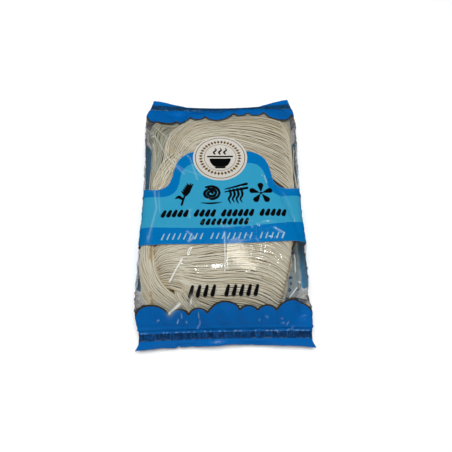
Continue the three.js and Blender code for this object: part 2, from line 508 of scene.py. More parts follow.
def chopsticks() -> Strokes:
    """Two chopsticks that lift a few strands.

    Returns:
        Its strokes, each with its points and its half widths.
    """
    yield [(-9.6, 4.4), (9.8, 9.6)], (0.6, 1.3)
    yield [(-9.8, 1.6), (10, 5.4)], (0.6, 1.3)
    for k in range(4):
        x = -5.6 + 3.4 * k
        yield ([(x, 3.4 + 0.6 * k), (x + 1, -1.5), (x - 1, -5.5), (x + 0.5, -10 + (k % 2))],
               (0.9, 1.15, 0.9, 0.5))


def blossom() -> Strokes:
    """A five-petalled flower.

    Returns:
        Its strokes, each with its points and its half widths.
    """
    for k in range(5):
        a = math.radians(90 + 72 * k)
        yield [(r * math.cos(a), r * math.sin(a)) for r in (2.6, 8.0)], (0.8, 2.7)
    yield [(-0.2, 0), (0.2, 0)], (1.2, 1.2)


def bowl() -> Strokes:
    """A bowl with steam over it.

    Returns:
        Its strokes, each with its points and its half widths.
    """
    yield [(-10.4, 0.6), (10.4, 0.6)], (0.8, 0.8)
    for k in range(9):
        y = -2.2 - 0.8 * k
        half = 8.4 * math.sqrt(max(0.05, 1 - ((y + 0.6) / 9.6) ** 2))
        yield [(-half, y), (half, y)], (0.8, 0.8)
    yield [(-3.6, -10.4), (3.6, -10.4)], (0.9, 0.9)
    for x in (-4.4, 0, 4.4):
        yield [(x, 3.2), (x - 1.1, 5.2), (x + 1.1, 7.4), (x, 9.8)], (0.7, 0.8, 0.35)


class Brush:
    """Shapes drawn with a round brush, kept as tapered strokes."""

    def __init__(self) -> None:
        """Starts with no strokes."""
        self.strokes: list[tuple[float, ...]] = []

    def draw(self, shape: Strokes, at: tuple[float, float] = (0, 0), size: float = 1.0) -> None:
        """Adds the strokes of a shape.

        Args:
            shape: The points that each stroke runs through, with its half widths, evenly spread.
            at: Where the shape's origin lies.
            size: Its scale.
        """
        for line, radii in shape:
            count = 2 if len(line) == 2 and len(radii) < 3 else 14
            points = smooth_line(line, count) * size + np.array(at)
            half = np.interp(np.linspace(0, 1, count), np.linspace(0, 1, len(radii)), radii) * size
            ends = zip(points[:-1], points[1:], half[:-1], half[1:])
            self.strokes += [(*a, *b, ra, rb) for a, b, ra, rb in ends]

    def field(self, x: Array, y: Array) -> Array:
        """Signed distance to the drawn shapes.

        Args:
            x: Across positions.
            y: Along positions.

        Returns:
            The distances, above 0 inside and held within 4 mm.
        """
        inside = np.full(x.shape, -4.0)
        for ax, ay, bx, by, ra, rb in self.strokes:
            dx, dy = bx - ax, by - ay
            near = (np.abs(x - ax - dx / 2) < 6 + abs(dx)) & (np.abs(y - ay - dy / 2) < 6 + abs(dy))
            px, py = x[near] - ax, y[near] - ay
            t = np.clip((px * dx + py * dy) / (dx * dx + dy * dy + 1e-9), 0, 1)
            inside[near] = np.maximum(inside[near], ra + (rb - ra) * t - np.hypot(px - t * dx, py - t * dy))
        return inside

    def grains(self, across: tuple[float, float], along: tuple[float, float], groups: tuple[int, ...],
               half: float, slant: float) -> None:
        """A row of grains in groups.

        Args:
            across: Where the row starts and ends.
            along: Its lower and its upper line.
            groups: Grains in each group.
            half: Half the width of a grain.
            slant: How far a grain leans over.
        """
        (left, right), (low, high) = across, along
        pitch = (right - left) / (sum(groups) + 0.9 * (len(groups) - 1))
        at = left + pitch / 2
        for count in groups:
            for _ in range(count):
                grain = [(at - slant, low + half), (at + slant, high - half * 0.7)], (half, half * 0.7)
                self.draw([grain])
                at += pitch
            at += 0.9 * pitch


class NodeBuilder:
    """Adds and joins the nodes of one material or node group."""

    def __init__(self, tree: bpy.types.NodeTree) -> None:
        """Keeps the tree that the nodes go into."""
        self.tree = tree
        self.made = 0

    def fill(self, node: bpy.types.Node, inputs: dict | tuple) -> None:
        """Links a node's inputs to sockets, or sets their plain values.

        Args:
            node: The node.
            inputs: A socket or a plain value for each input, by name or in order.
        """
        for key, value in inputs.items() if isinstance(inputs, dict) else enumerate(inputs):
            if isinstance(value, Socket):
                self.tree.links.new(value, node.inputs[key])
            else:
                node.inputs[key].default_value = value

    def node(self, kind: str, inputs: dict | tuple = (), **settings: object) -> bpy.types.Node:
        """Adds a node.

        Args:
            kind: The type of node.
            inputs: What goes into it, as fill takes it.
            **settings: Its own settings.

        Returns:
            The node.
        """
        node = self.tree.nodes.new(kind)
        node.location = (180 * (self.made % 12) - 1400, 200 * (self.made // 12) - 400)
        self.made += 1
        for key, value in settings.items():
            setattr(node, key, value)
        self.fill(node, inputs)
        return node

    def math(self, operation: str, *values: object) -> Socket:
        """A Math node with the given inputs."""
        return self.node("ShaderNodeMath", values, operation=operation).outputs[0]

    def times(self, *values: object) -> Socket:
        """The product of all values."""
        return reduce(lambda a, b: self.math("MULTIPLY", a, b), values)

    def plus(self, *values: object) -> Socket:
        """The sum of all values."""
        return reduce(lambda a, b: self.math("ADD", a, b), values)

    def most(self, *values: object) -> Socket:
        """The largest of all values."""
        return reduce(lambda a, b: self.math("MAXIMUM", a, b), values)

    def gap(self, value: object, middle: float) -> Socket:
        """How far a value lies from a number."""
        return self.math("ABSOLUTE", self.math("SUBTRACT", value, middle))

    def vector(self, operation: str, inputs: dict | tuple) -> Socket:
        """A Vector Math node with the given inputs."""
        return self.node("ShaderNodeVectorMath", inputs, operation=operation).outputs[0]

    def split(self, vector: Socket) -> tuple[Socket, Socket, Socket]:
        """The three parts of a vector."""
        return tuple(self.node("ShaderNodeSeparateXYZ", (vector,)).outputs)

    def mix(self, factor: object, first: object, second: object) -> Socket:
        """A colour that goes from first to second as factor goes from 0 to 1."""
        return self.node("ShaderNodeMix", {0: factor, 6: first, 7: second}, data_type="RGBA").outputs[2]

    def blend(self, factor: object, first: object, second: object) -> Socket:
        """A number that goes from first to second as factor goes from 0 to 1."""
        return self.node("ShaderNodeMix", {0: factor, 2: first, 3: second}, data_type="FLOAT").outputs[0]

    def layers(self, colour: object, *covers: tuple[object, object]) -> Socket:
        """A colour under covers, each with its mask and its own colour."""
        return reduce(lambda under, cover: self.mix(cover[0], under, cover[1]), covers, colour)

    def step(self, value: object, low: float, high: float, start: float = 0.0, end: float = 1.0) -> Socket:
        """A number that goes from start to end as value goes from low to high, and stays there."""
        return self.node("ShaderNodeMapRange", (value, low, high, start, end)).outputs[0]

    def stored(self, name: str, kind: str = "Fac") -> Socket:
        """A number or a vector stored on the piece's corners."""
        return self.node("ShaderNodeAttribute", attribute_name=name).outputs[kind]

    def noise(self, vector: object, scale: object, detail: float = 2.0, rough: float = 0.5) -> Socket:
        """Noise from 0 to 1 at a place."""
        inputs = {"Vector": vector, "Scale": scale, "Detail": detail, "Roughness": rough}
        return self.node("ShaderNodeTexNoise", inputs).outputs["Fac"]

    def bump(self, height: Socket, strength: float, distance: float) -> Socket:
        """The normal that a height leads to."""
        inputs = {"Strength": strength, "Distance": distance, "Height": height}
        return self.node("ShaderNodeBump", inputs).outputs["Normal"]


def cloudiness_group() -> bpy.types.NodeTree:
    """The group that varies a finish in soft clouds and fine specks.

    Returns:
        A group that turns a place into two values round 1.
    """
    tree = bpy.data.node_groups.new("cloudiness", "ShaderNodeTree")
    tree.interface.new_socket("Place", in_out="INPUT", socket_type="NodeSocketVector")
    for key, value in (("Cloud Size", 30.0), ("Speck Size", 900.0), ("Strength", 0.1)):
        tree.interface.new_socket(key, in_out="INPUT", socket_type="NodeSocketFloat").default_value = value
    for key in ("Tone", "Grain"):
        tree.interface.new_socket(key, in_out="OUTPUT", socket_type="NodeSocketFloat")
    build = NodeBuilder(tree)
    place, clouds, specks, strength = build.node("NodeGroupInput").outputs[:4]
    noises = (build.noise(place, size, 3.0) for size in (clouds, specks))
    swings = (build.times(build.math("SUBTRACT", noise, 0.5), strength, 2.0) for noise in noises)
    build.node("NodeGroupOutput", tuple(build.plus(swing, 1.0) for swing in swings))
    return tree


@dataclass(frozen=True)
class Finish:
    """What the finishes share: a place on the piece, and two values that vary round 1."""

    cloudiness: bpy.types.NodeTree

    def start(self, name: str, clouds: float, specks: float, strength: float) -> tuple:
        """Makes the material.

        Args:
            name: Its name.
            clouds: Scale of the soft clouds.
            specks: Scale of the fine specks.
            strength: How far both vary.

        Returns:
            The material, its shader and its builder, the place, and both values.
        """
        material = bpy.data.materials.new(name)
        material.use_nodes = True
        build = NodeBuilder(material.node_tree)
        place = build.node("ShaderNodeTexCoord").outputs["Object"]
        inputs = {"Place": place, "Cloud Size": clouds, "Speck Size": specks, "Strength": strength}
        tone, grain = build.node("ShaderNodeGroup", inputs, node_tree=self.cloudiness).outputs
        return material, material.node_tree.nodes["Principled BSDF"], build, place, tone, grain


@dataclass(frozen=True)
class NoodleFinish(Finish):
    """Pale dry wheat noodle, a little floury, with each strand its own tone, and painted shade: darker on
    sunken strands and towards the upper end, brown on the flanks, blue-grey near the print.
    """

    pale: tuple = linear(219, 217, 203)
    deep: tuple = linear(160, 138, 94)
    # Painted shade on each strand's lower flanks, which darkens the gaps between strands.
    flank_shade: tuple = linear(146, 120, 74)
    # Blue-grey painted shadow of the blue print near the printed ends, also over the deep upper-left layer.
    shade: tuple = linear(132, 144, 136)
    fleck: tuple = linear(122, 84, 42)
    roughness: float = 0.62

    def make(self) -> bpy.types.Material:
        """Builds the material.

        Returns:
            The material.
        """
        material, shader, build, place, cloud, grain = self.start("dry_noodle", 26.0, 700.0, 0.1)
        # The tone carries painted shade as well as each strand's own random tone.
        tone = build.times(build.stored("tone"), cloud)
        colour = build.layers(
            build.mix(build.step(tone, 0.15, 0.95), self.deep, self.pale),
            # painted shade on the strands' flanks
            (build.times(build.step(build.stored("flank_shade"), 0.4, 1.0), 0.48), self.flank_shade),
            # blue-grey painted shadow
            (build.stored("blue_shade"), self.shade),
            (build.times(build.step(build.noise(place, 240.0, 1.0), 0.70, 0.78), 0.35), self.fleck))
        build.fill(shader, {"Base Color": colour, "Roughness": build.times(grain, self.roughness),
                            "Specular IOR Level": 0.3, "Normal": build.bump(grain, 0.25, 0.0002)})
        return material


@dataclass(frozen=True)
class ShadeFinish(Finish):
    """Painted shade for the depth of the skein, seen only between strands, tinted teal at the upper left."""

    dark: tuple = linear(84, 68, 40)
    light: tuple = linear(112, 94, 58)
    teal: tuple = linear(38, 76, 88)

    def make(self) -> bpy.types.Material:
        """Builds the material.

        Returns:
            The material.
        """
        material, shader, build, place, cloud, grain = self.start("skein_painted_shade", 60.0, 500.0, 0.3)
        x, y, _ = build.split(place)
        # Teal tint of the painted shade at the upper left corner.
        corner = build.times(build.step(x, -0.048, -0.060), build.step(y, 0.0, 0.03))
        colour = build.layers(self.dark, (build.step(cloud, 0.8, 1.2), self.light), (corner, self.teal))
        build.fill(shader, {"Base Color": colour, "Roughness": build.times(grain, 0.8)})
        return material


@dataclass(frozen=True)
class FilmFinish(Finish):
    """Clear glossy film with opaque print, crimped at both ends, with painted reflection and glare."""

    print_plan: FilmPrint
    blue: tuple = linear(0, 90, 163)
    border: tuple = linear(0, 103, 166)
    light: tuple = linear(46, 144, 180)
    crimp: tuple = linear(0, 36, 72)
    upper_crimp: tuple = linear(20, 46, 64)
    outline: tuple = linear(50, 42, 9)
    disc: tuple = linear(192, 188, 180)
    # Painted glare on the clear film and painted sheen on the print, along the white creases.
    glare: tuple = linear(240, 236, 222)
    sheen: tuple = linear(200, 232, 242)
    back_blue: tuple = linear(72, 165, 222)
    brown: tuple = linear(92, 68, 22)
    ink: tuple = linear(8, 8, 10)
    pale: tuple = linear(140, 172, 180)
    clear: tuple = linear(236, 240, 240)
    # Grey-beige painted reflection of crinkled film on the walls and rim, in two shades mixed by noise.
    reflection_veil: tuple = linear(172, 166, 156)
    reflection_veil_dark: tuple = linear(98, 94, 88)
    back_panel: tuple = linear(156, 170, 171)
    back_ink: tuple = linear(44, 66, 122)
    mirror_share: float = 0.10
    edge_share: float = 0.32
    soft_edge: float = 0.12
    uneven_height: float = 0.018
    teeth_height: float = 2.4

    def make(self) -> bpy.types.Material:
        """Builds the material.

        Returns:
            The material.
        """
        material, shader, build, place, cloud, grain = self.start("printed_film", 22.0, 900.0, 0.06)
        front, painted_sheen, crease_white_and_glare, crimped = (build.stored(n) for n in ("front_side", "painted_sheen", "crease_white_and_glare", "crimp"))
        ends = build.stored("ends")
        others = (build.stored(n) for n in ("label", "panel", "ink", "pale_marks"))
        in_ends, in_label, in_panel, in_ink, in_pale = (
            build.step(s, -self.soft_edge, self.soft_edge) for s in (ends, *others))
        disc, rings = self.emblem(build, front)
        teeth = build.noise(build.vector("MULTIPLY", (place, (1.0, 0.22, 0.0))), 860.0, 2.0, 0.6)
        inked = build.most(in_ends, in_label)
        colour = build.layers(
            self.clear,
            # painted reflection on the walls and rim
            (build.step(painted_sheen, 0.0, 0.4),
             build.mix(build.step(build.noise(place, 420.0), 0.42, 0.58), self.reflection_veil_dark, self.reflection_veil)),
            (in_label, build.mix(front, self.back_blue, self.border)),
            (in_panel, build.mix(front, self.back_panel, self.light)),
            (disc, self.disc),
            (rings, self.brown),
            (in_pale, self.pale),
            (in_ink, build.mix(front, self.back_ink, self.ink)),
            (in_ends, self.blue),
            (build.times(in_ends, build.step(ends, 1.05, 1.5, 1.0, 0.0)), self.outline),
            (build.times(crimped, build.step(teeth, 0.46, 0.62, 1.0, 0.45)),
             build.mix(build.step(build.split(place)[1], -0.01, 0.01), self.crimp, self.upper_crimp)),
            # white creases: partly real whitening, partly painted glare and sheen
            (build.times(crease_white_and_glare, build.blend(inked, 0.8, 0.58)), build.mix(inked, self.glare, self.sheen)))

        printed = build.most(inked, disc, in_ink, in_panel)
        facing = build.node("ShaderNodeLayerWeight", {"Blend": 0.35}).outputs["Facing"]
        share = build.plus(build.times(facing, self.edge_share), self.mirror_share)
        # Painted reflection and glare make the film less clear.
        reflection_veil = build.plus(build.times(painted_sheen, 0.9), build.times(crease_white_and_glare, 0.85))
        solid = build.blend(in_panel, 0.975, build.blend(front, 0.8, 0.94))
        bare = build.math("SUBTRACT", 1.0, printed)
        # Where reflection or glare is painted, the film turns from mirror to diffuse.
        dull = build.step(build.most(build.times(painted_sheen, 0.55), crease_white_and_glare), 0.0, 0.45, 1.0, 0.05)
        rough = build.blend(crimped, build.blend(in_ends, 0.10, 0.22), 0.34)
        uneven = build.times(build.noise(place, 190.0, 1.0), self.uneven_height)
        relief = build.plus(uneven, build.times(teeth, crimped, self.teeth_height))
        build.fill(shader, {
            "Base Color": build.vector("SCALE", {0: colour, "Scale": cloud}),
            "Alpha": build.blend(printed, build.math("MINIMUM", build.plus(share, reflection_veil), 0.9), solid),
            "Metallic": build.times(bare, dull, 0.96),
            "Roughness": build.times(rough, grain),
            "Specular IOR Level": 0.5,
            "Normal": build.bump(relief, 0.6, 0.0004)})
        return material

    def emblem(self, build: NodeBuilder, front: Socket) -> tuple[Socket, Socket]:
        """The white disc with its brown rings and a band of small lozenges.

        Args:
            build: Builder of the material.
            front: 1 on the front of the pack.

        Returns:
            The masks of the disc and of what is brown on it.
        """
        radius = self.print_plan.disc_radius
        x, y = (build.math("SUBTRACT", part, middle) for part, middle in
                zip(build.split(build.stored("film_place", "Vector")), self.print_plan.disc_centre))
        r = build.math("SQRT", build.plus(build.times(x, x), build.times(y, y)))
        disc = build.times(build.step(r, radius - 0.1, radius + 0.1, 1.0, 0.0), front)
        turn = build.times(build.math("ARCTAN2", y, x), 36 / (2 * math.pi))
        lozenge = build.plus(build.times(build.gap(build.math("FRACT", turn), 0.5), 2.2),
                             build.times(build.gap(r, radius - 7.2), 0.46))
        rings = build.most(build.step(build.gap(r, radius - 2.2), 0.25, 0.45, 1.0, 0.0),
                           build.step(lozenge, 0.86, 0.98, 1.0, 0.0),
                           build.step(build.gap(r, radius - 10.4), 0.12, 0.32, 1.0, 0.0))
        return disc, build.times(rings, disc)


@dataclass(frozen=True)
class Side:
    """One side of the bag: where the corners of its sheet lie, as PackShape.point takes it."""

    front: bool
    dx: Array
    dy: Array
    place: Array


@dataclass
class FilmBag:
    """The film skin of the pack: a fine front sheet and a plainer back sheet, joined all round.

    A grid holds the columns of a side wall, the columns between the walls, and the rows. A crease
    holds its line, its height, its reach and how white it is, the white being partly real whitening
    and partly painted glare. A row of scuffs, small creases whose white is a painted glint, holds the
    field that they lie in across and along, their count and their length.
    """

    shape: PackShape
    print_plan: FilmPrint
    finish: FilmFinish
    front_grid: tuple[int, int, int] = (11, 184, 352)
    back_grid: tuple[int, int, int] = (8, 100, 200)
    row_shares: tuple = (0, 0.03, 0.07, 0.93, 0.97, 1)
    row_places: tuple = (-130, -123, -116, 116, 123, 130)
    lip: float = 0.03
    floor_gap: float = 0.02
    turn_step: float = 0.012
    place_step: float = 0.7
    back_half: float = 72.0
    crease_bridge: float = 1.7
    seed: int = 41
    crinkle: Crinkle = field(init=False)
    creases: tuple = (
        (((-33.8, -62), (-35.4, -66), (-38.6, -71.5), (-40.4, -75), (-42.8, -79.4)), 0.5, 0.7, 1.2),
        (((-26.6, -52.6), (-28.6, -55.6), (-28.8, -59)), 0.4, 0.6, 1.2),
        (((1.4, -40), (1.3, -60), (1.1, -74)), 0.3, 0.6, 1.0),
        (((45, 12), (49, 4), (59.3, -19.8), (67.6, -45.8)), -2.0, 2.0, 0.0),
        (((-76.4, 86.8), (-66, 68), (-56, 48), (-51, 38), (-42, 27), (-34, 18)), 0.6, 0.7, 0.45),
        (((-67, 81.8), (-56, 66), (-42, 50), (-29, 35), (-22, 12)), 0.5, 0.6, 0.4),
        (((-75.5, 84), (-66, 62), (-62, 40), (-61, 22)), 0.5, 0.6, 0.45),
        (((-55, 40), (-34, 22), (-18, 16)), 0.3, 0.6, 0.25),
        (((-44.5, -103), (-40, -99.5), (-35.5, -96)), 0.7, 1.5, 1.0),
        (((-25.6, -91), (-27, -96)), 0.4, 1.1, 0.8),
        (((53, -93), (58.8, -86), (63.5, -79)), 0.8, 0.5, 0.9),
        (((58.5, -60), (58.2, -74)), 0.8, 0.5, 0.9),
        (((-60, 2), (-57, -16), (-59, -26), (-63, -47)), 0.6, 0.8, 0.4),
        (((-56, 0), (-54, -20)), 0.3, 0.6, 0.25),
        (((15.5, -78), (20.5, -72.5), (25.5, -77), (30, -81)), 0.4, 0.5, 0.5),
        (((39, 15), (40.5, 8)), 0.4, 0.5, 0.9),
        (((-30, -38.5), (-24, -44), (-29, -47)), 0.4, 0.5, 0.8),
        (((44, -36), (52, -41), (50, -44)), 0.4, 0.5, 0.8),
        (((-28.5, -18), (-28, -26)), 0.3, 0.5, 0.5),
    )
    # Small creases whose white is a painted glint, strewn over fields.
    glint_scuffs: tuple = (((-70, 72), (-117, -104), 20, 2.0), ((-64, 64), (-46, 18), 9, 1.4),
                     ((18, 56), (-78, -50), 9, 1.4), ((-50, 10), (-84, -54), 5, 1.4))
    scuff_rise: float = 0.3
    scuff_reach: float = 0.33

    def __post_init__(self) -> None:
        """Makes the noise for the creases."""
        self.crinkle = Crinkle(self.seed)

    def build(self) -> bpy.types.Object:
        """Builds the bag and dresses it.

        Returns:
            The piece.
        """
        bag, back = self.sheet("clear_film_bag", True), self.sheet("film_back", False)
        select(bag, back)
        bpy.ops.object.join()
        self.close(bag)
        bag.data.materials.clear()
        bag.data.materials.append(self.finish.make())
        bpy.ops.object.shade_smooth()
        return bag

    def sheet(self, name: str, front: bool) -> bpy.types.Object:
        """One side of the bag, with its print.

        Args:
            name: Name of the sheet.
            front: Whether it is the printed front.

        Returns:
            The sheet as an open mesh.
        """
        wall, top, rows = self.front_grid if front else self.back_grid
        columns, sign = 2 * wall + top, 1 if front else -1
        sheet, u, v = add_sheet(name, columns, rows)
        k = u * columns
        dx = np.interp(k, [wall, wall + top], [-1.0, 1.0])
        dy = np.interp(k, [0, wall, wall + top, columns], [self.lip, 1.0, 1.0, self.lip]) * sign
        place = np.interp(v, self.row_shares, self.row_places)
        side, plain = Side(front, dx, dy, place), self.shape.point(dx, dy, place)
        turn, step = self.turn_step, self.place_step
        east, west = (self.shape.point(*self.nudge(dx, dy, by), place) for by in (turn, -turn))
        north, south = (self.shape.point(dx, dy, place + by) for by in (step, -step))
        height, marks = self.relief(plain, side)
        points = plain + sign * unit(np.cross(east - west, north - south)) * height[:, None]
        self.ragged(points, place)
        points[:, 2] = np.maximum(points[:, 2], self.floor_gap)
        place_corners(sheet, points)
        add_values(sheet.data, self.printed(plain, side) | marks)
        flat = np.stack([plain[:, 0], plain[:, 1], place], axis=1).astype(np.float32)
        layer = sheet.data.attributes.new("film_place", "FLOAT_VECTOR", "POINT")
        layer.data.foreach_set("vector", flat.ravel())
        return sheet

    @staticmethod
    def nudge(dx: Array, dy: Array, by: float) -> tuple[Array, Array]:
        """Directions turned a little to the right, over the front or under the back."""
        angle = np.arctan2(np.abs(dy), dx) - by
        return np.cos(angle), np.sin(angle) * np.sign(dy)

    def relief(self, points: Array, side: Side) -> tuple[Array, dict[str, Array]]:
        """Creases, waves and seams of the film.

        Args:
            points: Points of the plain surface.
            side: The side that they are on.

        Returns:
            The height of each point over the plain surface, with the painted grey-beige reflection on
            the film's walls and rim, and the white of its creases, which is partly real whitening and
            partly painted glare.
        """
        wave, ridge = self.crinkle.wave, self.crinkle.ridge
        (x, y, z), end, steep = points.T, np.abs(side.place), np.abs(side.dy)
        body = ramp(122, 112, end)
        wall = ramp(0.95, 0.4, steep) * body
        creases = 0.35 * ridge(x, y, 17, 9) + 0.22 * ridge(x - 31, y * 1.3, 8, 10)
        calm = 1 - 0.98 * ramp(1.05, 0.55, np.hypot((x - 1) / 38, (y + 62) / 24))
        height = (0.5 * (wave(x, y, 26) - 0.5) + 0.3 * (wave(x + 40, y, 9) - 0.5) + creases) * body * calm
        height += 0.5 * ridge(x, y / 5, 6.5, 6) * ramp(84, 106, end) * body
        height += wall * (0.9 * ridge(y, z * 1.6, 6.5, 3) + 0.5 * (wave(y * 1.4, z, 3.2) - 0.5))
        # Painted reflection: the grey-beige sheen of crinkled film on the rim and on the walls near both
        # ends.
        rim = 0.7 * ramp(0.4, 0.05, steep) * body
        upper = ramp(46, 66, y) * np.where(x > 0, ramp(102, 90, y), 0.85)
        painted_sheen = np.maximum(rim, 0.9 * wall * (upper + ramp(-80, -90, y)))
        painted_sheen = painted_sheen * (0.35 + 0.65 * wave(y * 1.2 + 60, z, 2.6))
        if not side.front:
            lap = 0.5 * bell(np.abs(x - 2) - 5.5, 1.4) * ramp(118, 108, end)
            # Painted glints along the back's sealed fold.
            fold = bell((steep - 0.665) * 20, 0.6) * ramp(0.3, 0.6, wave(y, 0 * y, 1.9)) * body
            height = np.where(z < 0.6, lap + 0.25 * creases, height * 0.6 + lap)
            # The back gets half the painted reflection.
            return height, {"painted_sheen": 0.5 * painted_sheen, "crease_white_and_glare": 0.9 * fold}
        # The white of the creases: partly real whitening of the film, partly painted glare.
        crease_white_and_glare = 0 * x
        for line, rise, reach, white in self.marks():
            near = np.exp(-line_distance(x, y, line) / reach)
            height += rise * near
            crease_white_and_glare += white * near**1.5
        # Painted glints in dashes along both seal edges.
        edge_glints = ramp(0.55, 0.8, wave(x * 1.6, y * 0.2 + 70, 2.4))
        crease_white_and_glare += 0.5 * edge_glints * (bell(end - 116.6, 0.35) + 0.4 * bell(side.place + 122.6, 0.3))
        glitter = bell(np.hypot(x - 36, y + 61), 8)
        height += glitter * (0.6 * ridge(x * 1.2, y + 17, 5, 4) + 0.3 * (wave(x, y, 3.4) - 0.5))
        height += 0.9 * bell(side.place + 113.6, 0.9)
        height += self.crease_bridge * bell(line_distance(x, y, self.shape.crease), self.shape.crease_reach)
        return height, {"painted_sheen": np.clip(painted_sheen, 0, 1), "crease_white_and_glare": np.clip(crease_white_and_glare, 0, 1)}

    def marks(self) -> list[tuple]:
        """The white creases with the scuffs, which are strewn over their fields. The white is partly real
        whitening of the film and partly painted glare.

        Returns:
            The line, height, reach and whiteness of each.
        """
        draw, marks = np.random.default_rng(self.seed), list(self.creases)
        for across, along, count, length in self.glint_scuffs:
            for _ in range(count):
                a, b = draw.uniform(*across), draw.uniform(*along)
                c, d = a + draw.normal(0, length), b + draw.normal(0, length)
                marks.append((((a, b), (c, d)), self.scuff_rise, self.scuff_reach, draw.uniform(0.3, 0.9)))
        return marks

    def ragged(self, points: Array, place: Array) -> None:
        """Makes the cut edges slightly uneven, with a nick in the lower one.

        Args:
            points: The corners, which are moved.
            place: Their place along the film.
        """
        wave, x = self.crinkle.wave, points[:, 0]
        at_edge = ramp(125, 130, np.abs(place)) * np.sign(place)
        uneven = 1.6 * (wave(x, x * 0 + 3, 11) - 0.5) + 0.5 * (wave(x, x * 0 + 9, 3) - 0.5)
        nick = np.where(place < 0, 1.6 * bell(x + 38, 1.2), 0)
        points[:, 1] += at_edge * (uneven - nick)
        points[:, 2] += np.abs(at_edge) * 0.8 * (wave(x, x * 0 + 21, 14) - 0.5)

    def printed(self, points: Array, side: Side) -> dict[str, Array]:
        """The print's shapes on a side, by the names that the finish knows them by.

        Args:
            points: The corners before creasing.
            side: The side that they are on.

        Returns:
            One number for each corner under each name.
        """
        x, y, _ = points.T
        plan, top = self.print_plan, side.place > 0
        ink, pale = Brush(), Brush()
        if side.front:
            label, panel, ends = plan.label(x, y), plan.panel(x, y), plan.ends(x, y)
            ink.draw(bowl(), plan.disc_centre, 1.1)
            ink.draw(ear(), (-31.5, -2.6), 1.05)
            ink.draw(swirl(), (-9.6, -2.6), 0.95)
            ink.draw(chopsticks(), (12.4, -2.9))
            ink.draw(blossom(), (34.6, -2.9))
            ink.grains((-52.6, 56.1), (-25.6, -18.4), (5, 4, 6, 5), 1.95, 0.9)
            ink.grains((-19, 22.9), (-33.4, -27.0), (9,), 1.75, 0.8)
            ink.grains((-28.7, 29.1), (-92.0, -83.0), (4, 5), 1.75, 0.9)
            pale.grains((-52.3, 53.1), (-46.0, -40.0), (8, 8, 5), 0.62, 1.0)
        else:
            inward = self.shape.wall_length * np.abs(side.dy) + (1 - np.abs(side.dx)) * self.back_half
            label = np.maximum(self.bands(inward, y), np.minimum(plan.label(x, y), 15.5 - inward))
            panel = np.minimum(inward - 13 - 7 * ramp(-82, -96, y), 88 - np.abs(y + 8))
            for k in range(26):
                groups = ((7, 5, 8, 3), (6, 9, 4), (5, 3, 7, 6))[k % 3]
                ink.grains((-69.5, 69.5), (62 - 5.8 * k, 65.6 - 5.8 * k), groups, 1.3, 0.0)
            ends = plan.ends(x, y + np.where(y > 0, 9, -6))
        inner = np.abs(side.place) - self.shape.seal_line + np.where(top, 1.6, 0)
        crimp = ramp(-0.3, 0.3, inner) * ramp(0.3, -0.3, inner - 6 - np.where(top, 2.2, 0))
        return {"front_side": np.full(len(x), float(side.front)), "ends": ends, "label": label,
                "panel": panel, "ink": ink.field(x, y), "pale_marks": pale.field(x, y), "crimp": crimp}

    @staticmethod
    def bands(inward: Array, y: Array) -> Array:
        """Signed distance to the side bands of the back, which have round ends.

        Args:
            inward: Distance of each point from the seam between front and back, over the film.
            y: Its place along.

        Returns:
            The distances, above 0 inside.
        """
        width, top, low, corner = 13.0, 72.0, -82.0, 5.0
        px = inward - width + corner
        py = np.abs(y - (top + low) / 2) - (top - low) / 2 + corner
        return corner - np.hypot(np.maximum(px, 0), np.maximum(py, 0)) - np.minimum(np.maximum(px, py), 0)

    @staticmethod
    def close(bag: bpy.types.Object) -> None:
        """Closes the two sheets along their whole edge and turns the faces outwards.

        Args:
            bag: The piece that holds both sheets.
        """
        select(bag)
        bpy.ops.object.mode_set(mode="EDIT")
        bpy.ops.mesh.select_mode(type="EDGE")
        bpy.ops.mesh.select_all(action="DESELECT")
        bpy.ops.mesh.select_non_manifold(extend=False, use_wire=False, use_boundary=True,
                                         use_multi_face=False, use_non_contiguous=False, use_verts=False)
        bpy.ops.mesh.bridge_edge_loops()
        bpy.ops.mesh.select_all(action="SELECT")
        bpy.ops.mesh.normals_make_consistent(inside=False)
        bpy.ops.object.mode_set(mode="OBJECT")
        shell = bmesh.new()
        shell.from_mesh(bag.data)
        LOG.info("film: %d open edges, %d faces", sum(e.is_boundary for e in shell.edges), len(shell.faces))
        shell.free()


